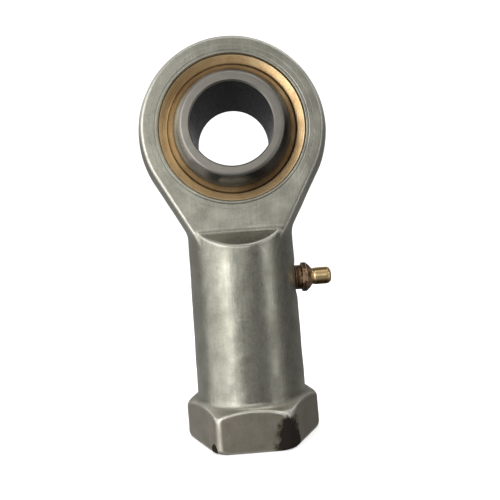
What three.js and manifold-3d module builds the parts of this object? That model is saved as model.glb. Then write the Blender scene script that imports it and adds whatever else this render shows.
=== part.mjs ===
// Rod end bearing, size 20: a forged steel eye with an internally threaded shank and a hex foot, a
// two-part bronze race held in the eye by staked lips, a bored steel ball, and a grease nipple.
//
// Millimetres, +Z up. The origin is the centre of the hex end face, +Z runs along the shank to the
// eye, and +Y is the axis of the eye. The nipple points along +X.

import * as THREE from "three";
import { mergeVertices } from "three/addons/utils/BufferGeometryUtils.js";
import Module from "manifold-3d";

const wasm = await Module();
wasm.setup();

// ---- driving dimensions ----------------------------------------------------------------------

const EYE_HEIGHT = 77;            // hex end face to the centre of the eye
const GAP = 0.3;                  // between pieces that touch on the real bearing
const ROUND = 52;                 // sides of a large circle
const SMALL_ROUND = 20;           // sides of a small circle
const OVERRUN = 1;                // joined solids run this far into each other, cutters this far out

const BALL_RADIUS = 17.4625;      // 34.925 mm ball
const BALL_WIDTH = 25;
const BORE_RADIUS = 10;
const BORE_CHAMFER = 0.4;
const BALL_CLEARANCE = 0.25;      // ball to race, wider than the facets' sag

const EYE_RADIUS = 24;            // head, at its middle plane
const EYE_WIDTH = 18;             // between the head's flat faces
const EYE_DRAFT = 1.8;            // how far the side falls away towards each face
const EYE_BAND = 0.02;            // straight band at the middle of the side
const SHOULDER_ANGLE = 29;        // degrees between the shoulders and the shank axis

const RACE_RADIUS = 19;
const RACE_WIDTH = 16.8;
const RACE_CHAMFER = 1.2;         // outer corner, under the staked lip
const RACE_DISH = 0.95;           // the face is this much deeper at the ball than at its rim
const RACE_GROOVE = 1;            // chamfer on the joint line, half of the grease groove

const SHANK_RADIUS = 13.75;
const LEDGE_TOP = 51.6;           // where the head's flat faces end
const LEDGE_FOOT = 47.9;          // where the sloping ledge reaches the shank

const HEX_FLATS = 30;
const HEX_TURNED_RADIUS = 17;     // the corners are turned down to this
const HEX_HEIGHT = 10;
const HEX_CHAMFER_ANGLE = 30;     // degrees
const HEX_CHAMFER_INSET = 0.4;    // the chamfer starts this far inside the flats
const HEX_FOOT_CHAMFER = 1;

const THREAD_MINOR_RADIUS = 9.188;  // M20 x 1.5
const THREAD_MOUTH_RADIUS = 10.4;
const THREAD_DEPTH = 33;
const DRILL_POINT = 4;            // cone beyond the thread

const NIPPLE_HEIGHT = 38.8;       // above the hex end face
const NIPPLE_SEAT = 13.2;         // spot face, from the shank axis
const NIPPLE_SEAT_RADIUS = 4.8;
const NIPPLE_STEM_RADIUS = 2.7;   // M6 stem
const NIPPLE_STEM_LENGTH = 4.6;
const NIPPLE_HOLE_SPARE = 0.5;    // the hole is this much deeper than the stem
const NIPPLE_HEX_FLATS = 7;
const NIPPLE_HEX_TURNED_RADIUS = 3.8;
const NIPPLE_HEX_THICKNESS = 3.8;  // with its collar
const NIPPLE_COLLAR_RADIUS = 3.2;
const NIPPLE_COLLAR_THICKNESS = 1.5;
const NIPPLE_HEX_CHAMFER = 0.5;
const NIPPLE_HEAD = [             // cone, neck and head: [radius, distance from the hex]
  [2.95, 0], [2.1, 0.6], [2.1, 0.9], [2.25, 1.3], [2.25, 4.6], [1.5, 5.5],
];
const CHAMBER_RADIUS = 1.25;      // bore that holds the check ball and its spring
const CHAMBER_CRIMP = 0.6;        // thickness of the crimped end that holds the spring
const INLET_RADIUS = 0.55;
const OUTLET_RADIUS = 0.7;
const DUCT_RADIUS = 1.5;          // grease duct in the housing

const CHECK_BALL_RADIUS = 0.95;
const CHECK_BALL_DEPTH = 2;       // closed, from the nipple's tip
const SPRING_RADIUS = 0.78;
const SPRING_WIRE_RADIUS = 0.14;
const SPRING_TURNS = 8;

const NIPPLE_FOOT = NIPPLE_SEAT + GAP;
const NIPPLE_HEX_START = NIPPLE_FOOT + NIPPLE_COLLAR_THICKNESS;
const NIPPLE_HEX_TOP = NIPPLE_FOOT + NIPPLE_HEX_THICKNESS;
const NIPPLE_TIP = NIPPLE_HEX_TOP + NIPPLE_HEAD.at(-1)[1];
const STEM_END = NIPPLE_FOOT - NIPPLE_STEM_LENGTH;
const CHECK_BALL_AT = NIPPLE_TIP - CHECK_BALL_DEPTH;

// ---- materials -------------------------------------------------------------------------------

const metal = (color, roughness) => new THREE.MeshStandardMaterial({ color, roughness, metalness: 1 });
const FORGED_STEEL = metal(0x9c9a92, 0.42);
const BRONZE = metal(0xc9a566, 0.3);
const BALL_STEEL = metal(0x8d8a80, 0.22);
const BRASS = metal(0xb98a45, 0.32);
const SPRING_STEEL = metal(0xb4b4b0, 0.3);

// ---- helpers ---------------------------------------------------------------------------------

const radians = (degrees) => THREE.MathUtils.degToRad(degrees);
const point = (x, y) => new THREE.Vector2(x, y);
const moved = (x, y, z) => new THREE.Matrix4().makeTranslation(x, y, z);
const ABOUT_X = new THREE.Matrix4().makeRotationZ(-Math.PI / 2);   // turns the lathe axis Y to +X
const ABOUT_Z = new THREE.Matrix4().makeRotationX(Math.PI / 2);    // turns the lathe axis Y to +Z

/** A solid for joining and cutting, from a closed geometry and the matrix that places it. */
function solid(geometry, matrix = new THREE.Matrix4()) {
  const bare = geometry.clone().applyMatrix4(matrix);
  bare.deleteAttribute("normal");
  bare.deleteAttribute("uv");
  const merged = mergeVertices(bare, 1e-4);
  const vertProperties = new Float32Array(merged.attributes.position.array);
  const triVerts = new Uint32Array(merged.index.array);
  return new wasm.Manifold(new wasm.Mesh({ numProp: 3, vertProperties, triVerts }));
}

/** A named mesh from a solid. */
function piece(name, shape, material) {
  const { vertProperties, triVerts } = shape.getMesh();
  const geometry = new THREE.BufferGeometry();
  geometry.setAttribute("position", new THREE.BufferAttribute(vertProperties, 3));
  geometry.setIndex(new THREE.BufferAttribute(triVerts, 1));
  const mesh = new THREE.Mesh(geometry, material);
  mesh.name = name;
  return mesh;
}

/** A solid of revolution about Y, from a closed outline of [radius, height] pairs, anticlockwise. */
function turned(outline, matrix, sides = ROUND) {
  const points = outline.map(([radius, height]) => point(radius, height));
  points.push(points[0].clone());
  return solid(new THREE.LatheGeometry(points, sides), matrix);
}

/** A solid cylinder about Y between two heights. */
const rod = (radius, low, high, matrix, sides = ROUND) =>
  turned([[0, low], [radius, low], [radius, high], [0, high]], matrix, sides);

/** A hexagonal prism along Y with two flats across the third axis. */
function hexPrism(flats, low, high, matrix) {
  const corner = flats / Math.sqrt(3);
  const geometry = new THREE.CylinderGeometry(corner, corner, high - low, 6);
  const turn = new THREE.Matrix4().makeRotationY(Math.PI / 6);
  return solid(geometry.applyMatrix4(turn).applyMatrix4(moved(0, (low + high) / 2, 0)), matrix);
}

/** [radius, height] pairs along a sphere about the origin, from one height to another. */
function sphereArc(radius, from, to, steps) {
  const start = Math.asin(from / radius);
  const sweep = Math.asin(to / radius) - start;
  return Array.from({ length: steps + 1 }, (_, i) => {
    const angle = start + (sweep * i) / steps;
    return [radius * Math.cos(angle), radius * Math.sin(angle)];
  });
}

const AT_EYE = moved(0, 0, EYE_HEIGHT);
const AT_NIPPLE = moved(0, 0, NIPPLE_HEIGHT).multiply(ABOUT_X);

// ---- housing ---------------------------------------------------------------------------------

/** The eye without its hole: a round head running down straight shoulders, with convex sides. */
function head() {
  const radius = EYE_RADIUS - EYE_DRAFT;
  const slope = radians(SHOULDER_ANGLE);
  const tangent = point(radius * Math.cos(slope), -radius * Math.sin(slope));
  const neckHeight = LEDGE_TOP - OVERRUN - EYE_HEIGHT;
  const neck = tangent.x - (tangent.y - neckHeight) * Math.tan(slope);
  const outline = new THREE.Shape();
  outline.moveTo(tangent.x, tangent.y);
  outline.absarc(0, 0, radius, -slope, Math.PI + slope, false);
  outline.lineTo(-neck, neckHeight);
  outline.lineTo(neck, neckHeight);
  const geometry = new THREE.ExtrudeGeometry(outline, {
    depth: EYE_BAND,
    bevelThickness: (EYE_WIDTH - EYE_BAND) / 2,
    bevelSize: EYE_DRAFT,
    bevelSegments: 6,
    curveSegments: 40,
  });
  return solid(geometry, moved(0, EYE_BAND / 2, EYE_HEIGHT).multiply(ABOUT_Z));
}

/** The round shank, whose top slopes in from both sides to the head's flat faces. */
function shank() {
  const flat = EYE_WIDTH / 2;
  const pitch = (LEDGE_TOP - LEDGE_FOOT) / (SHANK_RADIUS - flat);
  const outside = SHANK_RADIUS + OVERRUN;
  const half = [[outside, 0], [outside, LEDGE_FOOT - pitch * OVERRUN], [flat, LEDGE_TOP]];
  const outline = [...half, ...half.map(([y, z]) => [-y, z]).reverse()];
  const wedge = new THREE.ExtrudeGeometry(new THREE.Shape(outline.map(([y, z]) => point(y, z))), {
    depth: 4 * SHANK_RADIUS,
    bevelEnabled: false,
  });
  const alongX = new THREE.Matrix4().makeBasis(
    new THREE.Vector3(0, 1, 0), new THREE.Vector3(0, 0, 1), new THREE.Vector3(1, 0, 0));
  const placed = moved(-2 * SHANK_RADIUS, 0, 0).multiply(alongX);
  return rod(SHANK_RADIUS, HEX_HEIGHT / 2, LEDGE_TOP, ABOUT_Z).intersect(solid(wedge, placed));
}

/** The hex foot, its corners turned round and chamfered. */
function hexFoot() {
  const flats = HEX_FLATS / 2;
  const inset = flats - HEX_CHAMFER_INSET;
  const drop = (HEX_TURNED_RADIUS - inset) * Math.tan(radians(HEX_CHAMFER_ANGLE));
  const turnedBlank = turned([
    [0, 0],
    [HEX_TURNED_RADIUS - HEX_FOOT_CHAMFER, 0],
    [HEX_TURNED_RADIUS, HEX_FOOT_CHAMFER],
    [HEX_TURNED_RADIUS, HEX_HEIGHT - drop],
    [inset, HEX_HEIGHT],
    [0, HEX_HEIGHT],
  ], ABOUT_Z);
  return hexPrism(HEX_FLATS, -OVERRUN, HEX_HEIGHT + OVERRUN, ABOUT_Z).intersect(turnedBlank);
}

/** The hole that holds the race, necked at both faces by the staked lips. */
function raceSeat() {
  const wall = RACE_RADIUS + GAP;
  const lip = wall - RACE_CHAMFER;
  const lipInside = RACE_WIDTH / 2 + GAP * (Math.SQRT2 - 1);
  const undercut = lipInside - RACE_CHAMFER;
  const outside = EYE_WIDTH / 2 + OVERRUN;
  return turned([
    [0, -outside], [lip, -outside], [lip, -lipInside], [wall, -undercut],
    [wall, undercut], [lip, lipInside], [lip, outside], [0, outside],
  ], AT_EYE);
}

/** The threaded socket at its minor diameter, with a chamfered mouth and a drill point. */
function threadSocket() {
  const lead = THREAD_MOUTH_RADIUS - THREAD_MINOR_RADIUS;
  return turned([
    [0, -OVERRUN], [THREAD_MOUTH_RADIUS + OVERRUN, -OVERRUN], [THREAD_MINOR_RADIUS, lead],
    [THREAD_MINOR_RADIUS, THREAD_DEPTH], [0, THREAD_DEPTH + DRILL_POINT],
  ], ABOUT_Z);
}

/** The nipple's hole and the drilled ducts from it up to the race seat. */
function greaseWay() {
  const holeEnd = STEM_END - NIPPLE_HOLE_SPARE;
  const seatFloor = EYE_HEIGHT - RACE_RADIUS;
  return rod(NIPPLE_SEAT_RADIUS, NIPPLE_SEAT, SHANK_RADIUS + OVERRUN, AT_NIPPLE, SMALL_ROUND)
    .add(rod(NIPPLE_STEM_RADIUS + GAP, holeEnd, SHANK_RADIUS, AT_NIPPLE, SMALL_ROUND))
    .add(rod(DUCT_RADIUS, -DUCT_RADIUS / 2, holeEnd + OVERRUN, AT_NIPPLE, SMALL_ROUND))
    .add(rod(DUCT_RADIUS, NIPPLE_HEIGHT - OVERRUN, seatFloor + OVERRUN, ABOUT_Z, SMALL_ROUND));
}

function housing() {
  const forging = head().add(shank()).add(hexFoot());
  return forging.subtract(raceSeat()).subtract(threadSocket()).subtract(greaseWay());
}

// ---- bearing ---------------------------------------------------------------------------------

/** One half of the race, on the side of the middle plane that `side` (-1 or 1) names. */
function raceHalf(side) {
  const socket = BALL_RADIUS + BALL_CLEARANCE;
  const joint = GAP / 2;
  const face = RACE_WIDTH / 2;
  const inner = sphereArc(socket, face - RACE_DISH, joint, 7);
  const outline = [
    ...inner,
    [RACE_RADIUS - RACE_GROOVE, joint],
    [RACE_RADIUS, joint + RACE_GROOVE],
    [RACE_RADIUS, face - RACE_CHAMFER],
    [RACE_RADIUS - RACE_CHAMFER, face],
  ];
  const flip = new THREE.Matrix4().makeRotationX(side < 0 ? Math.PI : 0);
  return turned(outline, AT_EYE.clone().multiply(flip));
}

/** The ball: a sphere cut flat at both ends, with a chamfered bore. */
function innerRing() {
  const end = BALL_WIDTH / 2;
  return turned([
    [BORE_RADIUS, -end + BORE_CHAMFER],
    [BORE_RADIUS + BORE_CHAMFER, -end],
    ...sphereArc(BALL_RADIUS, -end, end, 16),
    [BORE_RADIUS + BORE_CHAMFER, end],
    [BORE_RADIUS, end - BORE_CHAMFER],
  ], AT_EYE);
}

// ---- grease nipple ---------------------------------------------------------------------------

function nippleBody() {
  const turnedRadius = NIPPLE_HEX_TURNED_RADIUS;
  const outside = turned([
    [0, STEM_END],
    [NIPPLE_STEM_RADIUS, STEM_END],
    [NIPPLE_STEM_RADIUS, NIPPLE_FOOT],
    [NIPPLE_COLLAR_RADIUS, NIPPLE_FOOT],
    [NIPPLE_COLLAR_RADIUS, NIPPLE_HEX_START],
    [turnedRadius, NIPPLE_HEX_START],
    [turnedRadius, NIPPLE_HEX_TOP - NIPPLE_HEX_CHAMFER],
    [turnedRadius - NIPPLE_HEX_CHAMFER, NIPPLE_HEX_TOP],
    ...NIPPLE_HEAD.map(([radius, distance]) => [radius, NIPPLE_HEX_TOP + distance]),
    [0, NIPPLE_TIP],
  ], AT_NIPPLE, SMALL_ROUND);
  const around = rod(NIPPLE_HEX_FLATS, NIPPLE_HEX_START, NIPPLE_HEX_TOP, AT_NIPPLE, SMALL_ROUND);
  const cornerUp = AT_NIPPLE.clone().multiply(new THREE.Matrix4().makeRotationY(Math.PI / 6));
  const hex = hexPrism(NIPPLE_HEX_FLATS, NIPPLE_HEX_START, NIPPLE_HEX_TOP, cornerUp);
  const body = outside.subtract(around.subtract(hex));
  const seatReach = Math.SQRT2 * (CHECK_BALL_RADIUS + GAP);
  const passage = turned([
    [0, STEM_END - OVERRUN],
    [OUTLET_RADIUS, STEM_END - OVERRUN],
    [OUTLET_RADIUS, STEM_END + CHAMBER_CRIMP],
    [CHAMBER_RADIUS, STEM_END + CHAMBER_CRIMP],
    [CHAMBER_RADIUS, CHECK_BALL_AT + seatReach - CHAMBER_RADIUS],
    [INLET_RADIUS, CHECK_BALL_AT + seatReach - INLET_RADIUS],
    [INLET_RADIUS, NIPPLE_TIP + OVERRUN],
    [0, NIPPLE_TIP + OVERRUN],
  ], AT_NIPPLE, SMALL_ROUND);
  return body.subtract(passage);
}

const checkBall = () => solid(
  new THREE.SphereGeometry(CHECK_BALL_RADIUS, 14, 8), moved(CHECK_BALL_AT, 0, NIPPLE_HEIGHT));

class Helix extends THREE.Curve {
  constructor(radius, start, end, turns) {
    super();
    Object.assign(this, { radius, start, end, turns });
  }

  getPoint(t, target = new THREE.Vector3()) {
    const angle = 2 * Math.PI * this.turns * t;
    const x = THREE.MathUtils.lerp(this.start, this.end, t);
    return target.set(x, this.radius * Math.cos(angle), this.radius * Math.sin(angle));
  }
}

/** The check ball's spring, from the crimped end of the stem to the ball. */
function nippleSpring() {
  const start = STEM_END + CHAMBER_CRIMP + GAP + SPRING_WIRE_RADIUS;
  const end = CHECK_BALL_AT - CHECK_BALL_RADIUS - GAP - SPRING_WIRE_RADIUS;
  const wire = new THREE.Shape();
  wire.absarc(0, 0, SPRING_WIRE_RADIUS, 0, 2 * Math.PI, false);
  const geometry = new THREE.ExtrudeGeometry(wire, {
    steps: SPRING_TURNS * 10,
    curveSegments: 3,
    extrudePath: new Helix(SPRING_RADIUS, start, end, SPRING_TURNS),
  });
  return solid(geometry, moved(0, 0, NIPPLE_HEIGHT));
}

// ---- assembly --------------------------------------------------------------------------------

const rodEnd = new THREE.Group();
rodEnd.add(
  piece("housing", housing(), FORGED_STEEL),
  piece("race_front", raceHalf(-1), BRONZE),
  piece("race_rear", raceHalf(1), BRONZE),
  piece("inner_ring", innerRing(), BALL_STEEL),
  piece("nipple_body", nippleBody(), BRASS),
  piece("nipple_check_ball", checkBall(), BALL_STEEL),
  piece("nipple_spring", nippleSpring(), SPRING_STEEL),
);

export default rodEnd;
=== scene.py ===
"""Rod end bearing, size 20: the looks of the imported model, in metres, in its own frame."""
import math

import bmesh
import bpy
import numpy as np
from mathutils import Matrix, Vector


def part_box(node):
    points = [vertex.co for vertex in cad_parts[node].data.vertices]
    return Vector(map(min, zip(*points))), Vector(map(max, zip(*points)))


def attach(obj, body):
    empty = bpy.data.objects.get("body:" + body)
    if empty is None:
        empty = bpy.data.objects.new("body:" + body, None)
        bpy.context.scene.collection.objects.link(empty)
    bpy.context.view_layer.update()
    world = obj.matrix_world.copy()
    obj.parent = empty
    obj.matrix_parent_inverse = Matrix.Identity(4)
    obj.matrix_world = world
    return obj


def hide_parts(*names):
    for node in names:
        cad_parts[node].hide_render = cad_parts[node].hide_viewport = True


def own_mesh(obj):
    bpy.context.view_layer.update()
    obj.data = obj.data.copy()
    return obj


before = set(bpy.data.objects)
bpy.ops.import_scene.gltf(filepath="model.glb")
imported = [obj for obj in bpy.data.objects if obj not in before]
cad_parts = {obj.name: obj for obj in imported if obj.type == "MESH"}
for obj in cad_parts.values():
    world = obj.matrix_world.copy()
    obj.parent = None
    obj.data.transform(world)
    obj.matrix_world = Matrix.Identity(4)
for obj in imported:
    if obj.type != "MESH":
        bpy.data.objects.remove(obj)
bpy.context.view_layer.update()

# ---- sizes, in millimetres -------------------------------------------------------------------

MM = 0.001


def box_mm(node):
    """A CAD node's lowest and highest corners in millimetres."""
    low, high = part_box(node)
    return np.array(low) / MM, np.array(high) / MM


HOUSING_LOW, HOUSING_HIGH = box_mm("housing")
BALL_LOW, BALL_HIGH = box_mm("inner_ring")
RACE_LOW, RACE_HIGH = box_mm("race_front")
NIPPLE_LOW, NIPPLE_HIGH = box_mm("nipple_body")
CHECK_LOW, CHECK_HIGH = box_mm("nipple_check_ball")
SPRING_LOW, SPRING_HIGH = box_mm("nipple_spring")

EYE_Z = (BALL_LOW[2] + BALL_HIGH[2]) / 2
HEAD_RADIUS = HOUSING_HIGH[0]
HEAD_HALF = 9.0              # half the width between the head's flat faces
HEAD_FALL = 1.8              # how far the head's side falls away towards each face
HEAD_CROWN = 2.4             # power that it falls away with
SHOULDER = math.radians(29)  # between the shoulders and the shank axis

SHANK_RADIUS = 13.75         # at SHANK_MIDDLE
SHANK_MIDDLE = 30.0
SHANK_DRAFT = 0.01           # how much wider the forging gets per millimetre down the shank
SHANK_FOOT = 1.0             # where the shank starts, inside the hex
LEDGE_TOP = 51.6             # from the head's flat faces out to the shank
LEDGE_FOOT = 47.9

HEX_HALF = HOUSING_HIGH[1]
HEX_TURNED = 17.0            # radius that its corners are turned down to
HEX_HEIGHT = 10.0
HEX_TOP = HEX_HALF - 0.6     # radius of the cone that chamfers its top, at HEX_HEIGHT
HEX_END = HEX_HEIGHT + 1.5   # where the cone stops, inside the shank
HEX_CHAMFER = math.radians(30)
HEX_FOOT = 0.6               # chamfer round the end face

# how wide the bands are over which the forging's edges and inner corners are rounded
HEAD_EDGE = 0.6
LEDGE_EDGE = 0.45
HEX_CORNER_EDGE = 1.0
HEX_FOOT_EDGE = 0.5
HEX_MOUTH_EDGE = 0.4
HEX_FLAT_EDGE = 0.3
SOCKET_EDGE = 0.2
SPOT_FACE_EDGE = 0.3
HEAD_FILLET = 0.8
HEX_FILLET = 1.1

SOCKET_RADIUS = 10.6         # clear hole that holds the thread's sleeve
SOCKET_DEPTH = 34.0
THREAD_MINOR = 9.188
THREAD_MOUTH = 10.5          # radius of the chamfer at the end face
THREAD_PITCH = 1.5
THREAD_DEPTH = 0.81

SEAT_RING = 19.75            # outside of the machined ring round the race
SEAT_HOLD = 0.8              # how far that ring reaches in under the forging's skin
RACE_RADIUS = RACE_HIGH[0]
RACE_FACE = -RACE_LOW[1]
RACE_DISH = 0.95             # how much deeper the face lies at the ball than at its rim
BALL_RADIUS = BALL_HIGH[0]
BALL_FACE = BALL_HIGH[1]
BORE_RADIUS = 10.0

NIPPLE_Z = (NIPPLE_LOW[2] + NIPPLE_HIGH[2]) / 2
NIPPLE_SEAT = 13.2           # how far out its spot face lies
SPOT_FACE = 4.8
NIPPLE_HOLE = 3.0
NIPPLE_HOLE_END = 8.5

NET_STEP = 0.3    # grid that the forging's skin is sampled on
RING_SIDES = 256             # round the race, the ball and their seat
NIPPLE_SIDES = 144

# ---- mesh helpers ----------------------------------------------------------------------------


def add_mesh(name, points, faces, materials, body, nodes, sharp=35, second=None, bend=None):
    """A smooth-shaded mesh object from points in millimetres, riding on its body.

    Edges that turn by more than `sharp` degrees stay sharp. Faces whose number is in `second` take
    the second material. `bend` is each point's curvature, for the materials.
    """
    mesh = bpy.data.meshes.new(name)
    places = (np.asarray(points, float) * MM).tolist()
    mesh.from_pydata(places, [], [list(map(int, face)) for face in faces])
    for material in materials:
        mesh.materials.append(material)
    if second is not None:
        in_second = np.isin(np.arange(len(faces)), second)
        mesh.polygons.foreach_set("material_index", in_second.astype(np.int32))
    if bend is not None:
        held = mesh.attributes.new("bend", "FLOAT", "POINT")
        held.data.foreach_set("value", bend.astype(np.float32))
    mesh.shade_smooth()
    mesh.set_sharp_from_angle(angle=math.radians(sharp))
    piece = bpy.data.objects.new(name, mesh)
    bpy.context.scene.collection.objects.link(piece)
    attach(piece, body)
    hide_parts(*nodes)
    return piece


def grid_faces(rows, columns, close_rows=True):
    """Quads over a grid of rows x columns points, with each row closed round on itself.

    The last row joins the first one, unless close_rows is off.
    """
    row_ends = rows if close_rows else rows - 1
    i, j = np.meshgrid(np.arange(row_ends), np.arange(columns), indexing="ij")
    i, j = i.ravel(), j.ravel()
    k, m = (i + 1) % rows, (j + 1) % columns
    return np.stack([i * columns + j, i * columns + m, k * columns + m, k * columns + j], 1)


def ring_mesh(outline):
    """Points and faces of a closed outline of (radius, height) pairs turned about Y, at the eye."""
    outline = np.asarray(outline, float)
    turn = np.arange(RING_SIDES) * 2 * math.pi / RING_SIDES
    radius, height = outline[:, 0][:, None], outline[:, 1][:, None]
    x = radius * np.cos(turn)
    z = EYE_Z + radius * np.sin(turn)
    points = np.stack([x, np.broadcast_to(height, x.shape), z], 2).reshape(-1, 3)
    return points, grid_faces(len(outline), RING_SIDES)


def outline_bend(outline, sides):
    """A closed anticlockwise outline's curvature at each of its points, for every side of its ring."""
    shortest_reach = 0.12
    outline = np.asarray(outline, float)
    before, after = outline - np.roll(outline, 1, 0), np.roll(outline, -1, 0) - outline
    turn = np.arctan2(before[:, 0] * after[:, 1] - before[:, 1] * after[:, 0], (before * after).sum(1))
    reach = (np.linalg.norm(before, axis=1) + np.linalg.norm(after, axis=1)) / 2
    return np.repeat(turn / np.maximum(reach, shortest_reach), sides)


def close_ends(outline, reach=0.07):
    """An outline with a point close to both ends of each long run, so that bend stays at its corners."""
    points = []
    for start, end in zip(outline, outline[1:] + outline[:1]):
        run = np.subtract(end, start)
        span = np.linalg.norm(run)
        points.append(start)
        if span > 3 * reach:
            step = run * reach / span
            points += [tuple(start + step), tuple(end - step)]
    return points


def sphere_arc(radius, start, end, steps):
    """(radius, height) pairs along a sphere about the eye's centre, between two heights."""
    turn = np.linspace(math.asin(start / radius), math.asin(end / radius), steps + 1)
    return list(zip(radius * np.cos(turn), radius * np.sin(turn)))


def round_corner(before, corner, after, radius, steps=5):
    """Points that round off one corner of an outline."""
    before, corner, after = (np.asarray(p, float) for p in (before, corner, after))
    to_before = (before - corner) / np.linalg.norm(before - corner)
    to_after = (after - corner) / np.linalg.norm(after - corner)
    half = math.acos(float(np.clip(to_before @ to_after, -1, 1))) / 2
    reach = radius / math.tan(half)
    middle = (to_before + to_after) / np.linalg.norm(to_before + to_after)
    centre = corner + middle * radius / math.sin(half)
    start, end = corner + to_before * reach - centre, corner + to_after * reach - centre
    points = []
    for t in np.linspace(0, 1, steps + 1):
        arm = start * (1 - t) + end * t
        points.append(tuple(centre + arm / np.linalg.norm(arm) * radius))
    return points


def rounded(outline):
    """An outline of (radius, height, corner radius) rows, with each corner rounded."""
    points = []
    for n, (radius, height, corner) in enumerate(outline):
        if corner:
            before, after = outline[n - 1][:2], outline[(n + 1) % len(outline)][:2]
            points += round_corner(before, (radius, height), after, corner)
        else:
            points.append((radius, height))
    return points


# ---- the housing as a field ------------------------------------------------------------------


def soft_max(a, b, blend):
    """The larger of two fields, with the corner between them rounded over."""
    overlap = np.clip(1 - np.abs(a - b) / blend, 0, None)
    return np.maximum(a, b) + overlap * overlap * blend / 4


def soft_min(a, b, blend):
    return -soft_max(-a, -b, blend)


def unevenness(x, y, z):
    """The slight waviness that forging and hand grinding leave."""
    slow = np.sin(0.31 * x + 0.23 * z + 0.7) * np.sin(0.27 * y - 0.19 * z + 1.9)
    quick = np.sin(0.83 * x - 0.37 * y + 2.1) * np.sin(0.71 * z + 0.45 * y + 0.3)
    return 0.05 * slow + 0.022 * quick


def head_field(x, y, z):
    """The round eye and its straight shoulders, crowned between two flat faces."""
    across, up = np.abs(x), z - EYE_Z
    along = -across * math.sin(SHOULDER) - up * math.cos(SHOULDER)
    straight = across * math.cos(SHOULDER) - up * math.sin(SHOULDER)
    outline = np.where(along > 0, straight, np.hypot(across, up)) - HEAD_RADIUS
    side = outline + HEAD_FALL * (np.abs(y) / HEAD_HALF) ** HEAD_CROWN
    return soft_max(side, np.abs(y) - HEAD_HALF, HEAD_EDGE)


def shank_field(x, y, z):
    """The tapered shank, cut away to the head's faces by two sloping ledges."""
    radius = SHANK_RADIUS + SHANK_DRAFT * (SHANK_MIDDLE - z)
    fall, run = LEDGE_TOP - LEDGE_FOOT, SHANK_RADIUS - HEAD_HALF
    length = math.hypot(fall, run)
    ledge = ((np.abs(y) - HEAD_HALF) * fall + (z - LEDGE_TOP) * run) / length
    return np.maximum(soft_max(np.hypot(x, y) - radius, ledge, LEDGE_EDGE), SHANK_FOOT - z)


def hex_field(x, y, z):
    """The hex foot: six flats on a turned blank with a cone above and a chamfer below."""
    rho = np.hypot(x, y)
    cone = (z - HEX_HEIGHT) * math.cos(HEX_CHAMFER) + (rho - HEX_TOP) * math.sin(HEX_CHAMFER)
    foot = (rho - HEX_TURNED + HEX_FOOT - z) * math.sqrt(0.5)
    blank = soft_max(soft_max(rho - HEX_TURNED, cone, HEX_CORNER_EDGE), foot, HEX_FOOT_EDGE)
    blank = soft_max(np.maximum(blank, z - HEX_END), -z, HEX_MOUTH_EDGE)
    flats = np.maximum(np.abs(y), np.abs(x) * math.cos(math.pi / 6) + np.abs(y) / 2) - HEX_HALF
    return soft_max(flats, blank, HEX_FLAT_EDGE)


def housing_field(x, y, z):
    """Below zero inside the forging, and about the distance to its surface elsewhere."""
    field = soft_min(head_field(x, y, z), shank_field(x, y, z), HEAD_FILLET)
    field = soft_min(field, hex_field(x, y, z), HEX_FILLET)
    rho, eye = np.hypot(x, y), np.hypot(x, z - EYE_Z)

    # the end face and the band next to the machined ring stay true
    rough = np.clip((z - 1) / 3, 0, 1) * np.clip((eye - SEAT_RING - SEAT_HOLD) / 4, 0, 1)
    field = field + unevenness(x, y, z) * rough

    field = np.maximum(field, SEAT_RING - eye)
    drill_point = (z - SOCKET_DEPTH - (THREAD_MINOR - rho) * 0.5) * 0.9
    field = soft_max(field, -np.maximum(rho - SOCKET_RADIUS, drill_point), SOCKET_EDGE)
    nipple = np.hypot(y, z - NIPPLE_Z)
    field = soft_max(field, -np.maximum(nipple - SPOT_FACE, NIPPLE_SEAT - x), SPOT_FACE_EDGE)
    return np.maximum(field, -np.maximum(nipple - NIPPLE_HOLE, NIPPLE_HOLE_END - x))


def surface_net(field, low, high, step):
    """Points and quads on the zero level of a field, sampled on a grid and then drawn onto it."""
    axes = [np.arange(a, b + step, step) for a, b in zip(low, high)]
    values = np.empty([len(a) for a in axes], np.float32)
    for n, x in enumerate(axes[0]):
        values[n] = field(x, axes[1][:, None], axes[2][None, :])
    inside = values < 0
    corners = np.array([(a, b, c) for a in (0, 1) for b in (0, 1) for c in (0, 1)])
    cells = np.array(inside.shape) - 1
    part = [slice(a, a + n) for a in (0, 1) for n in cells]
    count = np.zeros(cells, np.int8)
    for a, b, c in corners:
        count += inside[part[3 * a], part[3 * b + 1], part[3 * c + 2]]
    active = np.argwhere((count > 0) & (count < 8))
    index = np.full(cells, -1, np.int64)
    index[tuple(active.T)] = np.arange(len(active))

    total, hits = np.zeros((len(active), 3)), np.zeros(len(active))
    for a in range(8):
        for b in range(a + 1, 8):
            if np.abs(corners[a] - corners[b]).sum() != 1:
                continue
            start = values[tuple((active + corners[a]).T)]
            end = values[tuple((active + corners[b]).T)]
            crossing = (start < 0) != (end < 0)
            share = np.where(crossing, start / np.where(crossing, start - end, 1), 0)
            where = corners[a] + share[:, None] * (corners[b] - corners[a])
            total += where * crossing[:, None]
            hits += crossing
    points = np.array([a[0] for a in axes]) + (active + total / hits[:, None]) * step

    faces = []
    for axis in range(3):
        other, third = (axis + 1) % 3, (axis + 2) % 3
        near = [slice(1, -1)] * 3
        far = [slice(1, -1)] * 3
        near[axis], far[axis] = slice(0, -1), slice(1, None)
        change = np.argwhere(inside[tuple(near)] != inside[tuple(far)])
        for k in (other, third):
            change[:, k] += 1
        leaving = inside[tuple(change.T)]
        quad = []
        for back_other, back_third in ((1, 1), (0, 1), (0, 0), (1, 0)):
            cell = change.copy()
            cell[:, other] -= back_other
            cell[:, third] -= back_third
            quad.append(index[tuple(cell.T)])
        quad = np.stack(quad, 1)
        quad[~leaving] = quad[~leaving][:, ::-1]
        faces.append(quad)

    faces = np.concatenate(faces)
    for _ in range(3):
        points = onto(field, even_out(points, faces), step)
    return onto(field, onto(field, points, step), step), faces


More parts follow.
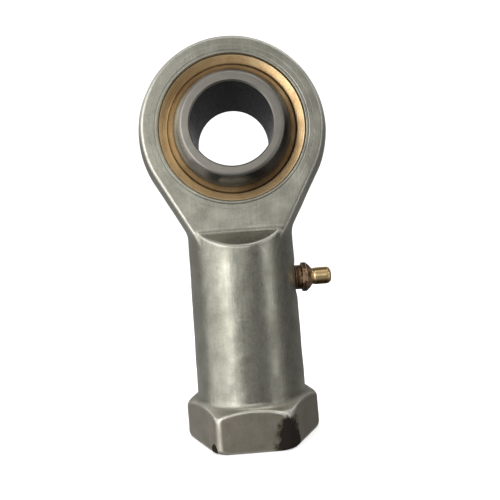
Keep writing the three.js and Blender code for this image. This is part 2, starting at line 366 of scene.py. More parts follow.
def even_out(points, faces):
    """Each point drawn halfway to the middle of its neighbours."""
    total, count = np.zeros_like(points), np.zeros(len(points))
    for n in range(4):
        start, end = faces[:, n], faces[:, (n + 1) % 4]
        for axis in range(3):
            total[:, axis] += np.bincount(start, points[end, axis], len(points))
            total[:, axis] += np.bincount(end, points[start, axis], len(points))
        count += np.bincount(start, minlength=len(points)) + np.bincount(end, minlength=len(points))
    return (points + total / count[:, None]) / 2


def onto(field, points, reach):
    """The points drawn along the field's slope onto its zero level, by no more than a reach."""
    nudge, least_slope = 0.02, 0.5
    here = field(*points.T)
    slope = np.stack([
        (field(*(points + nudge * axis).T) - field(*(points - nudge * axis).T)) / (2 * nudge)
        for axis in np.eye(3)], 1)
    pull = here / np.maximum((slope * slope).sum(1), least_slope ** 2)
    return points - np.clip(pull, -reach, reach)[:, None] * slope


def curvature(field, points, reach):
    """How sharply the surface bends at each point, in 1/mm: above zero on a convex edge."""
    total = -6 * field(*points.T)
    for axis in np.eye(3):
        total = total + field(*(points + reach * axis).T) + field(*(points - reach * axis).T)
    return total / reach ** 2


# ---- materials -------------------------------------------------------------------------------


class Nodes:
    """A node tree, built a node at a time."""

    def __init__(self, tree):
        self.tree = tree

    def node(self, kind, **settings):
        made = self.tree.nodes.new(kind)
        for key, value in settings.items():
            setattr(made, key, value)
        return made

    def feed(self, socket, value):
        """Link a socket to another node's output, or give it a value."""
        if isinstance(value, bpy.types.NodeSocket):
            self.tree.links.new(value, socket)
        elif value is not None:
            socket.default_value = value

    def math(self, operation, a, b=None, c=None, clamp=False):
        made = self.node("ShaderNodeMath", operation=operation, use_clamp=clamp)
        for socket, value in zip(made.inputs, (a, b, c)):
            self.feed(socket, value)
        return made.outputs[0]

    def levels(self, value, low, high, to_low=0.0, to_high=1.0):
        """A value ramped from one range to another, and held at both ends."""
        made = self.node("ShaderNodeMapRange", clamp=True)
        self.feed(made.inputs["Value"], value)
        keys = "From Min", "From Max", "To Min", "To Max"
        for key, number in zip(keys, (low, high, to_low, to_high)):
            self.feed(made.inputs[key], number)
        return made.outputs[0]


class Recipe(Nodes):
    """A material on the Principled shader. Masks are 1 where they apply, and 0 elsewhere."""

    def __init__(self, name):
        self.material = bpy.data.materials.new(name)
        self.material.use_nodes = True
        super().__init__(self.material.node_tree)
        self.shader = self.tree.nodes["Principled BSDF"]
        self.place = self.node("ShaderNodeTexCoord").outputs["Object"]

    def set(self, **values):
        for key, value in values.items():
            self.feed(self.shader.inputs[key.replace("_", " ")], value)

    def blend(self, share, a, b):
        """Colour a, with a share of colour b mixed in."""
        made = self.node("ShaderNodeMix", data_type="RGBA")
        self.feed(made.inputs["Factor"], share)
        for socket, value in ((made.inputs[6], a), (made.inputs[7], b)):
            self.feed(socket, (*value, 1) if isinstance(value, tuple) else value)
        return made.outputs[2]

    def part(self, mask, share):
        """A mask at a share of its strength."""
        return self.math("MULTIPLY", mask, share)

    def axis(self, letter):
        """The place on the object along X, Y or Z, in metres."""
        split = self.node("ShaderNodeSeparateXYZ")
        self.feed(split.inputs[0], self.place)
        return split.outputs[letter]

    def axis_mm(self, letter):
        return self.math("DIVIDE", self.axis(letter), MM)

    def noise(self, size, detail=3.0, rough=0.5):
        """Noise whose blobs are about `size` millimetres across; a number or one for each axis."""
        size = size if isinstance(size, tuple) else (size, size, size)
        place = self.node("ShaderNodeMapping")
        self.feed(place.inputs["Vector"], self.place)
        place.inputs["Scale"].default_value = [1 / (MM * s) for s in size]
        made = self.node("ShaderNodeTexNoise")
        self.feed(made.inputs["Vector"], place.outputs[0])
        made.inputs["Scale"].default_value = 1.0
        made.inputs["Detail"].default_value = detail
        made.inputs["Roughness"].default_value = rough
        return made.outputs["Fac"]

    def mottle(self, size, detail=3.0, rough=0.5, low=0.3, high=0.7, to_low=0.0, to_high=1.0):
        """Noise with its middle range spread over the whole of another range."""
        return self.levels(self.noise(size, detail, rough), low, high, to_low, to_high)

    def turning(self, size):
        """Fine concentric marks round the eye's axis, about `size` millimetres apart."""
        x, z = self.axis("X"), self.math("SUBTRACT", self.axis("Z"), EYE_Z * MM)
        square = self.math("ADD", self.math("MULTIPLY", x, x), self.math("MULTIPLY", z, z))
        radius_mm = self.math("DIVIDE", self.math("SQRT", square), MM)
        made = self.node("ShaderNodeTexNoise", noise_dimensions="1D")
        self.feed(made.inputs["W"], self.math("DIVIDE", radius_mm, size))
        made.inputs["Scale"].default_value = 1.0
        made.inputs["Detail"].default_value = 3.0
        return made.outputs["Fac"]

    def bent(self, low, high):
        """A mask from how sharply the surface bends, in 1/mm: above zero on a convex edge."""
        bend = self.node("ShaderNodeAttribute", attribute_name="bend").outputs["Fac"]
        return self.levels(bend, low, high)

    def worn_edges(self, low=0.15, high=1.1):
        """A mask of the convex edges."""
        return self.bent(low, high)

    def crevices(self):
        """A mask of the concave corners."""
        return self.bent(-1.2, -3.0)

    def near(self, centre, reach, ragged=0.5, size=2.0, soft=0.35):
        """A mask of a ragged blob about a point, in millimetres."""
        gap = self.node("ShaderNodeVectorMath", operation="DISTANCE")
        self.feed(gap.inputs[0], self.place)
        gap.inputs[1].default_value = [c * MM for c in centre]
        fray = -2 * ragged * reach * MM
        frayed = self.math("MULTIPLY_ADD", self.noise(size, 4, 0.6), fray, gap.outputs["Value"])
        rim = reach * (1 - ragged)
        return self.levels(frayed, rim * MM, (rim - soft) * MM)

    def bump(self, *layers):
        """Bump from (height, strength in millimetres) layers, one on another."""
        normal = None
        for height, depth in layers:
            made = self.node("ShaderNodeBump")
            made.inputs["Strength"].default_value = 1.0
            made.inputs["Distance"].default_value = depth * MM
            self.feed(made.inputs["Height"], height)
            self.feed(made.inputs["Normal"], normal)
            normal = made.outputs[0]
        self.set(Normal=normal)


def corner_stain(made, low=3.15, high=2.75):
    """A mask of the ragged burnt patch that widens down the hex's front right corner.

    `gap` is how far outside the patch a point lies, plus noise of 0 to `fray`. The mask rises from
    0 to 1 as it falls from `low` to `high`.
    """
    fray = 6.0
    across, height = made.axis_mm("X"), made.axis_mm("Z")
    middle = made.levels(height, 0.5, 8.5, 8.3, 7.7)
    half_width = made.levels(height, 0.5, 8.6, 2.9, 1.2)
    gap = made.math("SUBTRACT", made.math("ABSOLUTE", made.math("SUBTRACT", across, middle)), half_width)
    gap = made.math("MULTIPLY_ADD", made.noise(2.2, 6, 0.7), fray, gap)
    towards_top = made.levels(height, 7.2, 9.0, 0.0, 3.0)
    towards_rear = made.levels(made.axis_mm("Y"), -12, -8, 0.0, 5.0)
    gap = made.math("ADD", made.math("ADD", gap, towards_top), towards_rear)
    return made.levels(gap, low, high)


def on_ledge(made):
    """A mask of the sloping ledges between the head's flat faces and the shank, which painted shade
    darkens.
    """
    depth, height = made.axis_mm("Y"), made.axis_mm("Z")
    slope = (SHANK_RADIUS - HEAD_HALF) / (LEDGE_TOP - LEDGE_FOOT)
    plane = made.math("MULTIPLY_ADD", height, slope, made.math("ABSOLUTE", depth))
    off_plane = made.math("ABSOLUTE", made.math("SUBTRACT", plane, HEAD_HALF + slope * LEDGE_TOP))
    below_face = made.levels(height, LEDGE_TOP + 0.3, LEDGE_TOP - 0.1)
    return made.math("MULTIPLY", made.levels(off_plane, 0.5, 0.15), below_face)


def forged_steel():
    """Forged and hand-finished steel: cloudy, brushed along the shank, bright on its edges."""
    made = Recipe("forged_steel")
    blotches = made.noise(7.0, 5, 0.6)
    grain = made.noise(0.5, 4, 0.65)
    streaks = made.noise((0.35, 0.35, 9.0), 4, 0.6)
    tone = made.blend(made.levels(blotches, 0.35, 0.68), (0.31, 0.305, 0.25), (0.51, 0.505, 0.425))
    tone = made.blend(made.mottle(4.5, 4, 0.6, 0.5, 0.72, 0.0, 0.45), tone, (0.22, 0.19, 0.155))
    tone = made.blend(made.levels(streaks, 0.3, 0.7, 0.0, 0.35), tone, (0.24, 0.225, 0.19))
    tone = made.blend(made.levels(grain, 0.45, 0.75, 0.0, 0.3), tone, (0.62, 0.61, 0.53))

    # the hex is warmer, and darker on its sides with painted shade
    on_hex = made.levels(made.axis("Z"), 10.5 * MM, 9 * MM, 0.0, 0.55)
    taupe = made.blend(made.mottle(3.2, 4, 0.5, 0.35, 0.65), (0.37, 0.325, 0.235), (0.5, 0.42, 0.35))
    tone = made.blend(on_hex, tone, taupe)
    right = made.levels(made.axis("X"), 9 * MM, 12 * MM, 0.0, 0.85)
    left = made.levels(made.axis("X"), -9 * MM, -12 * MM, 0.0, 0.35)
    painted_side_shade = made.math("MULTIPLY", on_hex, made.math("ADD", right, left))
    tone = made.blend(painted_side_shade, tone, (0.22, 0.2, 0.155))

    # painted shade darkens the sloping ledges
    tone = made.blend(made.part(on_ledge(made), 0.5), tone, (0.19, 0.19, 0.165))
    tone = made.blend(made.part(made.worn_edges(), 0.5), tone, (0.8, 0.79, 0.7))
    # painted highlight on the convex edges at the top of the hex's front right corner
    corner_glint_spot = made.near((8.4, -14.6, 9.2), 4.2, ragged=0.3, size=1.0, soft=2.2)
    painted_corner_highlight = made.math("MULTIPLY", corner_glint_spot, made.worn_edges(0.1, 0.9))
    tone = made.blend(painted_corner_highlight, tone, (0.93, 0.91, 0.82))

    # a burnt patch with a brown rim down the hex's front right corner, and a smaller dark patch of
    # painted shade at its front left foot
    tone = made.blend(corner_stain(made, 4.3, 2.9), tone, (0.1, 0.075, 0.05))
    foot_corner_shade = made.near((-9.9, -13.6, 0.7), 1.7, ragged=0.4, size=1.5)
    # the burnt patch and the painted shade together, also for roughness and metal
    stain_and_shade = made.math("MAXIMUM", corner_stain(made), foot_corner_shade)
    tone = made.blend(stain_and_shade, tone, (0.012, 0.008, 0.006))

    rough = made.levels(blotches, 0.3, 0.7, 0.4, 0.28)
    rough = made.math("ADD", rough, made.levels(grain, 0.3, 0.7, -0.04, 0.07))
    rough = made.math("ADD", rough, made.part(stain_and_shade, 0.4))
    metal = made.levels(stain_and_shade, 0, 1, 1.0, 0.25)
    made.set(Base_Color=tone, Metallic=metal, Roughness=rough, Specular_IOR_Level=0.2)
    made.bump((made.noise(2.6, 3, 0.5), 0.05), (streaks, 0.02), (grain, 0.018))
    return made.material


def machined_steel():
    """The thread of the socket, cut bright."""
    made = Recipe("machined_steel")
    marks = made.turning(0.12)
    tone = made.blend(made.noise(3.0), (0.46, 0.45, 0.41), (0.66, 0.65, 0.6))
    made.set(Base_Color=tone, Metallic=1.0, Roughness=made.levels(marks, 0.3, 0.7, 0.24, 0.4))
    made.bump((marks, 0.02), (made.noise(0.4), 0.008))
    return made.material


def race_bronze():
    """The race: turned, with brown patches, and browner at its upper left."""
    made = Recipe("race_bronze")
    marks = made.turning(0.14)
    tone = made.blend(made.noise(4.0, 4), (0.6, 0.39, 0.18), (0.8, 0.6, 0.34))
    tone = made.blend(made.mottle(2.4, 5, 0.65, 0.48, 0.74, 0.0, 0.6), tone, (0.42, 0.24, 0.1))
    up = made.math("SUBTRACT", made.axis("Z"), EYE_Z * MM)
    up_left = made.math("SUBTRACT", up, made.axis("X"))
    tone = made.blend(made.levels(up_left, 17 * MM, 24 * MM, 0.0, 0.55), tone, (0.36, 0.22, 0.1))
    tone = made.blend(made.part(made.worn_edges(), 0.6), tone, (0.92, 0.76, 0.48))
    # painted shade darkens the concave corners
    tone = made.blend(made.part(made.crevices(), 0.6), tone, (0.12, 0.07, 0.03))
    made.set(Base_Color=tone, Metallic=0.9, Roughness=made.levels(marks, 0.3, 0.7, 0.26, 0.38))
    made.bump((marks, 0.018), (made.noise(0.5), 0.01))
    return made.material


def ball_steel():
    """The ball: polished on its sphere, which has a painted reflection of the race at its upper left,
    painted shadow at its lower right and a browner top, and turned on its ends.
    """
    made = Recipe("ball_steel")
    marks = made.turning(0.1)
    depth = made.math("ABSOLUTE", made.axis("Y"))
    on_end = made.levels(depth, (BALL_FACE - 0.6) * MM, (BALL_FACE - 0.3) * MM)

    sphere = made.blend(made.noise(5.0), (0.28, 0.25, 0.21), (0.4, 0.365, 0.31))
    across, below = made.axis_mm("X"), made.math("SUBTRACT", EYE_Z, made.axis_mm("Z"))
    # distance towards the lower right, 30 degrees below +X, with a wavering edge
    low_right = made.math("MULTIPLY_ADD", below, 0.5, made.math("MULTIPLY", across, 0.866))
    low_right = made.math("MULTIPLY_ADD", made.noise(3.0, 4), 3.0, low_right)
    # painted reflection of the race, lighter towards the upper left
    sphere = made.blend(made.levels(low_right, -4.0, -9.0, 0.0, 0.8), sphere, (0.7, 0.62, 0.5))
    # painted shadow, dark towards the lower right
    sphere = made.blend(made.levels(low_right, 9.0, 13.0, 0.0, 0.75), sphere, (0.05, 0.032, 0.022))
    sphere = made.blend(made.levels(below, -6.0, -10.0, 0.0, 0.6), sphere, (0.22, 0.14, 0.07))

    end = made.blend(made.noise(2.5, 4), (0.24, 0.225, 0.195), (0.35, 0.33, 0.295))
    tone = made.blend(on_end, sphere, end)
    tone = made.blend(made.part(made.worn_edges(0.6, 4), 0.3), tone, (0.62, 0.61, 0.57))
    rough = made.levels(on_end, 0, 1, 0.14, 0.36)
    rough = made.math("ADD", rough, made.mottle(0.6, to_low=-0.03, to_high=0.05))
    made.set(Base_Color=tone, Metallic=1.0, Roughness=rough)
    made.bump((marks, 0.012), (made.noise(0.35), 0.006))
    return made.material


def bore_painted_dark():
    """The ball's bore, painted near black for the shade inside it."""
    made = Recipe("bore_painted_dark")
    tone = made.blend(made.noise(3.0, 4), (0.002, 0.002, 0.0022), (0.007, 0.007, 0.0072))
    rough = made.mottle(1.0, to_low=0.5, to_high=0.62)
    made.set(Base_Color=tone, Metallic=0.0, Roughness=rough, Specular_IOR_Level=0.06)
    made.bump((made.noise((0.6, 0.08, 0.6)), 0.01))
    return made.material


def nipple_brass():
    """Turned brass, browned by old grease and heat on its hex; painted shade darkens it above and below
    its axis, and darkens the hex at its top, bottom and foot.
    """
    made = Recipe("nipple_brass")
    tone = made.blend(made.noise(1.4, 4), (0.7, 0.46, 0.18), (1.0, 0.8, 0.48))
    # painted shade, darker above and below the axis
    below = made.math("SUBTRACT", NIPPLE_Z * MM, made.axis("Z"))
    shade_above_below = made.math("ADD", made.levels(below, 0.3 * MM, 1.6 * MM, 0.0, 0.94),
                     made.levels(below, -0.7 * MM, -1.8 * MM, 0.0, 0.85))
    tone = made.blend(shade_above_below, tone, (0.13, 0.07, 0.015))

    on_hex = made.levels(made.axis("X"), 18.2 * MM, 17.3 * MM)
    # painted shade at the hex's top and bottom and at its foot by the housing; the patches are grease
    corners = made.levels(made.math("ABSOLUTE", below), 1.5 * MM, 2.6 * MM)
    foot = made.levels(made.axis("X"), 15.0 * MM, 14.2 * MM)
    patches = made.mottle(1.3, 4, 0.5, 0.5, 0.62)
    grime_and_shade = made.math("MAXIMUM", patches, made.math("MAXIMUM", corners, foot))
    grime_and_shade = made.math("MULTIPLY", on_hex, grime_and_shade, clamp=True)
    tone = made.blend(made.part(on_hex, 0.7), tone, (0.52, 0.32, 0.22))
    # dark grease patches and painted shade on the hex
    tone = made.blend(made.part(grime_and_shade, 0.9), tone, (0.05, 0.022, 0.012))
    tone = made.blend(made.part(made.worn_edges(), 0.35), tone, (0.93, 0.75, 0.42))
    rough = made.levels(grime_and_shade, 0, 1, 0.28, 0.45)
    rough = made.math("ADD", rough, made.mottle(0.6, to_low=-0.03, to_high=0.05))
    made.set(Base_Color=tone, Metallic=1.0, Roughness=rough)
    made.bump((made.noise((0.12, 2.0, 2.0), 2), 0.006), (made.noise(0.5), 0.006))
    return made.material


def drawn_steel(name, tone, rough):
    made = Recipe(name)
    dark = tuple(0.8 * c for c in tone)
    made.set(Base_Color=made.blend(made.noise(0.5), dark, tone), Metallic=1.0)
    made.set(Roughness=made.mottle(0.2, to_low=rough, to_high=rough + 0.1))
    made.bump((made.noise(0.15), 0.004))
    return made.material


FORGED = forged_steel()
MACHINED = machined_steel()
BRONZE = race_bronze()
BALL = ball_steel()
BORE = bore_painted_dark()
BRASS = nipple_brass()
CHECK = drawn_steel("check_ball_steel", (0.62, 0.62, 0.61), 0.1)
WIRE = drawn_steel("spring_steel", (0.6, 0.6, 0.59), 0.24)

# ---- housing ---------------------------------------------------------------------------------


def build_forging():
    """Eye, shoulders, shank and hex in one skin."""
    room = 2.5 * NET_STEP        # so that no flat face lies on a plane of the grid
    points, faces = surface_net(housing_field, HOUSING_LOW - room, HOUSING_HIGH + room, NET_STEP)
    eye = np.hypot(points[:, 0], points[:, 2] - EYE_Z)
    bend = np.where(eye < SEAT_RING + SEAT_HOLD, 0, curvature(housing_field, points, 0.35))
    add_mesh("housing_forging", points, faces, [FORGED], "housing", ["housing"],
             sharp=50, bend=bend)


def build_seat_ring():
    """The machined bore of the eye, with a lip staked over the race at each face."""
    root, wall, face = SEAT_RING + SEAT_HOLD, RACE_RADIUS + 0.3, HEAD_HALF + 0.006
    lip, lip_foot, lip_top = 17.93, 18.6, face + 0.09
    worn_radius = 19.3
    # from the root over the flat face, down a fine groove and over the lip to the wall behind it
    half = [
        (root, 8.55, 0), (root, face - 0.03, 0), (SEAT_RING + 0.1, face, 0.5),
        (lip_foot + 0.35, face, 0.1), (lip_foot + 0.2, face - 0.09, 0.08),
        (lip_foot, lip_top, 0.12), (lip + 0.2, lip_top, 0.18), (lip, face - 0.4, 0.1), (wall, 7.2, 0.2),
    ]
    mirrored = [(r, -h, c) for r, h, c in reversed(half)]
    outline = close_ends(rounded(half + mirrored))
    points, faces = ring_mesh(outline)
    wears = np.repeat(np.array(outline)[:, 0], RING_SIDES) <= worn_radius
    bend = np.where(wears, outline_bend(outline, RING_SIDES) / 4, 0)
    add_mesh("housing_eye_seat", points, faces, [FORGED], "housing", ["housing"],
             bend=bend)


def build_thread():
    """The socket's M20 x 1.5 thread, as the inner face of a sleeve."""
    sides, rise, start, end = 120, 0.1, 0.02, SOCKET_DEPTH - 0.9
    heights = np.arange(start, end, rise)
    turn = np.arange(sides) * 2 * math.pi / sides
    phase = (heights[:, None] / THREAD_PITCH - turn / (2 * math.pi)) % 1
    # 0 along the root of the thread and 1 along its crest, with straight flanks between
    flank, root = 2.9, 0.35
    tooth = np.clip((0.5 - np.abs(phase - 0.5)) * flank - root, 0, 1)
    inner = THREAD_MINOR + THREAD_DEPTH * (1 - tooth)
    inner = np.maximum(inner, THREAD_MOUTH - heights[:, None])
    outer = np.full_like(inner, SOCKET_RADIUS + 0.25)
    radius = np.concatenate([inner, outer[::-1]])
    height = np.broadcast_to(np.concatenate([heights, heights[::-1]])[:, None], radius.shape)
    points = np.stack([radius * np.cos(turn), radius * np.sin(turn), height], 2).reshape(-1, 3)
    faces = grid_faces(len(radius), sides)
    add_mesh("housing_thread", points, faces, [MACHINED], "housing", ["housing"])


# ---- bearing ---------------------------------------------------------------------------------


def build_race(name, node, side):
    """One half of the race; side is -1 at the front and 1 at the rear.

    Its chamfered middle edge leaves the grease groove, and its face is dished towards the ball.
    """
    socket, joint, groove, chamfer = BALL_RADIUS + 0.1, 0.15, 1.0, 1.2
    dish = RACE_FACE - RACE_DISH
    inner = sphere_arc(socket, dish - 0.25, joint, 28)
    mouth = inner[0][0] + 0.12
    outline = inner + rounded([
        (RACE_RADIUS - groove, joint, 0), (RACE_RADIUS, joint + groove, 0),
        (RACE_RADIUS, RACE_FACE - chamfer, 0.15), (RACE_RADIUS - chamfer, RACE_FACE, 0.1),
        (mouth, dish, 0.08),
    ])
    outline = [(r, side * h) for r, h in close_ends(outline)][::side]
    points, faces = ring_mesh(outline)
    bend = outline_bend(outline, RING_SIDES)
    add_mesh(name, points, faces, [BRONZE], "housing", [node], bend=bend)


def build_ball():
    """The bored ball, with a chamfer at each end of its bore and a rounded rim round each end face."""
    lead, rim = BORE_RADIUS + 0.35, 1.0
    end_radius = math.sqrt(BALL_RADIUS ** 2 - BALL_FACE ** 2)
    arc_end = BALL_FACE - 0.45
    arc = sphere_arc(BALL_RADIUS, -arc_end, arc_end, 96)
    near = round_corner((lead, -BALL_FACE), (end_radius, -BALL_FACE), arc[0], rim, 8)
    far = [(r, -h) for r, h in reversed(near)]
    wall_end = BALL_FACE - (lead - BORE_RADIUS)
    wall = [(BORE_RADIUS, h) for h in np.linspace(wall_end, -wall_end, 24)]
    outline = near + arc[1:-1] + far + [(lead, BALL_FACE)] + wall + [(lead, -BALL_FACE)]
    points, faces = ring_mesh(outline)
    eye = np.hypot(points[:, 0], points[:, 2] - EYE_Z)
    bore = np.flatnonzero((eye[faces] < BORE_RADIUS + 0.01).all(1))
    bend = outline_bend(outline, RING_SIDES)
    add_mesh("ball", points, faces, [BALL, BORE], "ball", ["inner_ring"],
             second=bore, bend=bend)


# ---- grease nipple ---------------------------------------------------------------------------


def nipple_mesh(outline, across_flats, hex_from, hex_to):
    """An outline of (distance along X, radius) turned about the nipple's axis, with a hex waist."""
    outline = np.asarray(outline, float)
    turn = np.arange(NIPPLE_SIDES) * 2 * math.pi / NIPPLE_SIDES
    wedge = turn % (math.pi / 3) - math.pi / 6
    flat = across_flats / 2 / np.cos(wedge)
    along, radius = outline[:, 0][:, None], outline[:, 1][:, None]
    waist = (along > hex_from) & (along < hex_to)
    radius = np.where(waist, np.minimum(radius, flat), radius)
    x = np.broadcast_to(along, radius.shape)
    points = np.stack([x, radius * np.sin(turn), NIPPLE_Z + radius * np.cos(turn)], 2)
    return points.reshape(-1, 3), grid_faces(len(outline), NIPPLE_SIDES)


def build_nipple():
    """Stem, foot, hex, neck and head outside, then the check ball's chamber inside."""
    stem, foot, tip = NIPPLE_LOW[0], NIPPLE_SEAT + 0.3, NIPPLE_HIGH[0]
    collar, hex_top, neck = foot + 1.5, foot + 3.8, foot + 4.6
    hex_start, cone = collar + 0.26, collar + 1.31
    stem_radius, foot_radius, collar_radius, corner, head = 2.7, 3.2, 3.25, 3.8, 2.25
    chamber, orifice, across_flats = 1.25, 0.7, 7.0
    steps = np.linspace(0, 1, 12)
    # stem and foot
    outline = [(stem, 2.3), (stem + 0.4, stem_radius), (foot - 0.05, stem_radius), (foot, 2.8)]
    outline += [(foot + 0.02, foot_radius - 0.1), (foot + 0.12, foot_radius)]
    outline += [(collar - 0.04, foot_radius), (collar, collar_radius - 0.01)]
    # hex, with its cone
    rise = corner - collar_radius
    outline += [(collar + 0.01 + 0.25 * t, collar_radius + rise * t) for t in steps]
    outline += [(hex_start + 1.05 * t, corner) for t in steps[1:]]
    outline += [(cone + 0.98 * t, corner - 0.85 * t) for t in steps[1:]]
    # neck and head
    outline += [(hex_top, 2.95), (hex_top + 0.3, 2.48), (hex_top + 0.6, 2.16), (neck, 2.1)]
    outline += [(neck + 0.2, 2.13), (neck + 0.4, 2.21), (neck + 0.6, head), (tip - 1.1, head)]
    outline += [(tip - 0.8, 2.19), (tip - 0.45, 2.02), (tip - 0.15, 1.75), (tip, 1.5)]
    # mouth, chamber and the way through the stem
    outline += [(tip, 0.7), (tip - 0.12, 0.56), (tip - 0.8, 0.55), (tip - 1.5, 1.2)]
    outline += [(tip - 1.6, chamber), (stem + 0.7, chamber), (stem + 0.6, orifice), (stem, orifice)]
    outline = close_ends(outline)
    points, faces = nipple_mesh(outline, across_flats, collar + 0.005, hex_top - 0.005)
    bend = -outline_bend(outline, NIPPLE_SIDES)
    add_mesh("grease_nipple", points, faces[:, ::-1], [BRASS], "housing", ["nipple_body"],
             sharp=28, bend=bend)


def build_check_ball():
    centre = (CHECK_LOW + CHECK_HIGH) / 2
    radius = (CHECK_HIGH[0] - CHECK_LOW[0]) / 2
    form = bmesh.new()
    bmesh.ops.create_icosphere(form, subdivisions=4, radius=1.0)
    form.verts.index_update()
    points = np.array([vertex.co for vertex in form.verts]) * radius + centre
    faces = [[vertex.index for vertex in face.verts] for face in form.faces]
    form.free()
    add_mesh("check_ball", points, faces, [CHECK], "check_ball",
             ["nipple_check_ball"])


def build_spring():
    """The check ball's spring: a closed-ended coil, made at one length; the real one shortens as the ball
    is pushed in.

    `wire` is the wire's radius, and `closed` is the share of the coil that lies flat at each end.
    """
    wire, sides, turns, per_turn, closed = 0.14, 12, 8, 36, 0.06
    start, end = SPRING_LOW[0] + wire, SPRING_HIGH[0] - wire
    coil = (SPRING_HIGH[1] - SPRING_LOW[1]) / 2 - wire
    t = np.linspace(0, 1, turns * per_turn + 1)
    lay = start + (end - start) * np.clip((t - closed) / (1 - 2 * closed), 0, 1)
    angle = 2 * math.pi * turns * t
    centre = np.stack([lay, coil * np.cos(angle), NIPPLE_Z + coil * np.sin(angle)], 1)
    outward = np.stack([np.zeros_like(t), np.cos(angle), np.sin(angle)], 1)
    side = np.array([1.0, 0.0, 0.0])
    round_wire = np.arange(sides) * 2 * math.pi / sides
    ring = np.cos(round_wire)[None, :, None] * outward[:, None] + np.sin(round_wire)[None, :, None] * side
    points = (centre[:, None] + wire * ring).reshape(-1, 3)
    faces = [tuple(f) for f in grid_faces(len(t), sides, close_rows=False)]
    last = (len(t) - 1) * sides
    faces += [tuple(range(sides))[::-1], tuple(range(last, last + sides))]
    piece = add_mesh("spring", points, faces, [WIRE], "housing", ["nipple_spring"],
                     sharp=60)
    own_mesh(piece)


build_forging()
build_seat_ring()
build_thread()
build_race("race_half_front", "race_front", -1)
build_race("race_half_rear", "race_rear", 1)
build_ball()
build_nipple()
build_check_ball()
build_spring()

# ---- stage -----------------------------------------------------------------------------------


def build_floor():
    """Plain paper that reflections and shadows don't see, so that the object keeps its contrast."""
    mesh = bpy.data.meshes.new("floor")
    half = 6.0
    corners = [(-half, -half, 0), (half, -half, 0), (half, half, 0), (-half, half, 0)]
    mesh.from_pydata(corners, [], [(0, 1, 2, 3)])
    floor = bpy.data.objects.new("floor", mesh)
    bpy.context.scene.collection.objects.link(floor)
    made = Recipe("floor_paper")
    tone = made.blend(made.noise(60.0), (0.86, 0.86, 0.865), (0.88, 0.88, 0.885))
    made.set(Base_Color=tone, Roughness=0.9, Emission_Color=(1, 1, 1, 1), Emission_Strength=0.2)
    mesh.materials.append(made.material)
    floor.visible_glossy = floor.visible_shadow = False


# name, azimuth in degrees (0 in front of the object, 90 at +X), height, distance, (width, height), watts
SOFTBOXES = [
    ("key_left", -60, 0.1, 0.6, (0.7, 0.7), 1.6),
    ("key_core", -36, 0.1, 0.62, (0.19, 0.7), 1.0),
    ("strip_right", 55, 0.1, 0.6, (0.16, 0.7), 0.43),
    ("front_soft", -3, 0.18, 0.7, (0.42, 0.26), 0.38),
    ("top_front", 3, 0.69, 0.3, (0.6, 0.14), 0.45),
    ("top_right", 70, 0.6, 0.3, (0.2, 0.2), 0.2),
    ("back_fill", 180, 0.25, 0.8, (0.4, 0.5), 1.2),
]
SOFTBOX_AIM = Vector((0, 0, 0.055))


def add_softbox(name, azimuth, height, distance, size, power):
    """An area light aimed at the middle of the object."""
    light = bpy.data.lights.new(name, "AREA")
    light.shape = "RECTANGLE"
    light.size, light.size_y = size
    light.energy = power
    lamp = bpy.data.objects.new(name, light)
    bpy.context.scene.collection.objects.link(lamp)
    turn = math.radians(azimuth)
    lamp.location = (distance * math.sin(turn), -distance * math.cos(turn), height)
    aim = SOFTBOX_AIM - lamp.location
    lamp.rotation_euler = aim.to_track_quat("-Z", "Y").to_euler()


# how light the room is in reflections, from straight down (-1) to straight up (1)
ROOM = [
    (-1, 0.04), (-0.85, 0.08), (-0.65, 0.4), (-0.4, 0.34), (-0.1, 0.16),
    (0.12, 0.14), (0.5, 0.5), (0.8, 0.5), (1, 0.2),
]
ROOM_LEFT, ROOM_RIGHT = 1.08, 0.45
ROOM_BEHIND = 2.0            # how much lighter it is behind the object, above the floor
WHITE = 1.2                  # how light it is to the camera and to matt surfaces


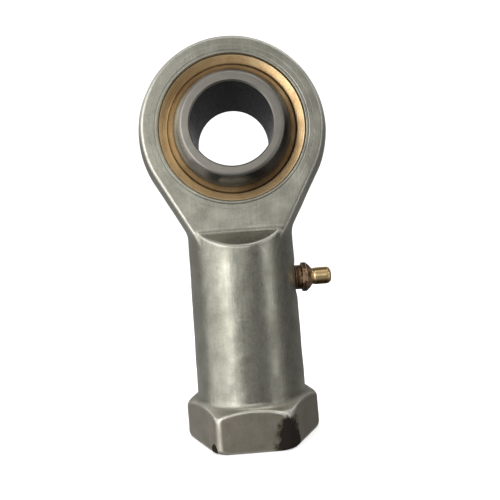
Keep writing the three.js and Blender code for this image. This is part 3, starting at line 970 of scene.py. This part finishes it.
def build_world():
    """White to the camera and to matt surfaces; a dim room to reflections, lighter overhead."""
    world = bpy.data.worlds.new("studio")
    bpy.context.scene.world = world
    world.use_nodes = True
    made = Nodes(world.node_tree)
    split = made.node("ShaderNodeSeparateXYZ")
    made.feed(split.inputs[0], made.node("ShaderNodeTexCoord").outputs["Generated"])

    by_height = made.node("ShaderNodeFloatCurve")
    made.feed(by_height.inputs["Value"], made.levels(split.outputs["Z"], -1, 1))
    curve = by_height.mapping.curves[0]
    curve.points[0].location, curve.points[1].location = (0, ROOM[0][1]), (1, ROOM[-1][1])
    for up, light in ROOM[1:-1]:
        curve.points.new((up + 1) / 2, light)
    by_height.mapping.update()

    by_side = made.levels(split.outputs["X"], -1, 1, ROOM_LEFT, ROOM_RIGHT)
    behind = made.levels(split.outputs["Y"], 0.15, 0.6, 1.0, ROOM_BEHIND)
    above_floor = made.levels(split.outputs["Z"], -0.45, -0.1)
    room = made.math("MULTIPLY", by_height.outputs[0], by_side)
    room = made.math("MULTIPLY", room, made.math("POWER", behind, above_floor))

    seen = made.node("ShaderNodeMix")
    made.feed(seen.inputs["Factor"], made.node("ShaderNodeLightPath").outputs["Is Glossy Ray"])
    made.feed(seen.inputs["A"], WHITE)
    made.feed(seen.inputs["B"], room)
    background = world.node_tree.nodes["Background"]
    made.feed(background.inputs["Color"], seen.outputs[0])
    background.inputs["Strength"].default_value = 1.0


CAMERA_MM = (0.36, -124.6, EYE_Z - 30.4)
CAMERA_TURN, CAMERA_TILT, CAMERA_ROLL = (math.radians(angle) for angle in (0.88, 0.1, -4.28))
LENS, SENSOR = 34.25, 36.0


def build_camera():
    """A camera that looks along +Y, turned to the right, tilted up and rolled by small angles."""
    data = bpy.data.cameras.new("camera")
    data.sensor_width = SENSOR
    data.lens = LENS
    data.clip_start = 0.01
    camera = bpy.data.objects.new("camera", data)
    bpy.context.scene.collection.objects.link(camera)
    level = Vector((math.sin(CAMERA_TURN), math.cos(CAMERA_TURN), 0)) * math.cos(CAMERA_TILT)
    forward = level + Vector((0, 0, math.sin(CAMERA_TILT)))
    right = forward.cross(Vector((0, 0, 1))).normalized()
    up = right.cross(forward)
    tipped_right = math.cos(CAMERA_ROLL) * right + math.sin(CAMERA_ROLL) * up
    tipped_up = -math.sin(CAMERA_ROLL) * right + math.cos(CAMERA_ROLL) * up
    turned = Matrix((tipped_right, tipped_up, -forward)).transposed().to_4x4()
    turned.translation = Vector(CAMERA_MM) * MM
    camera.matrix_world = turned
    bpy.context.scene.camera = camera


build_floor()
build_world()
for softbox in SOFTBOXES:
    add_softbox(*softbox)
build_camera()
bpy.context.scene.view_settings.view_transform = "Standard"
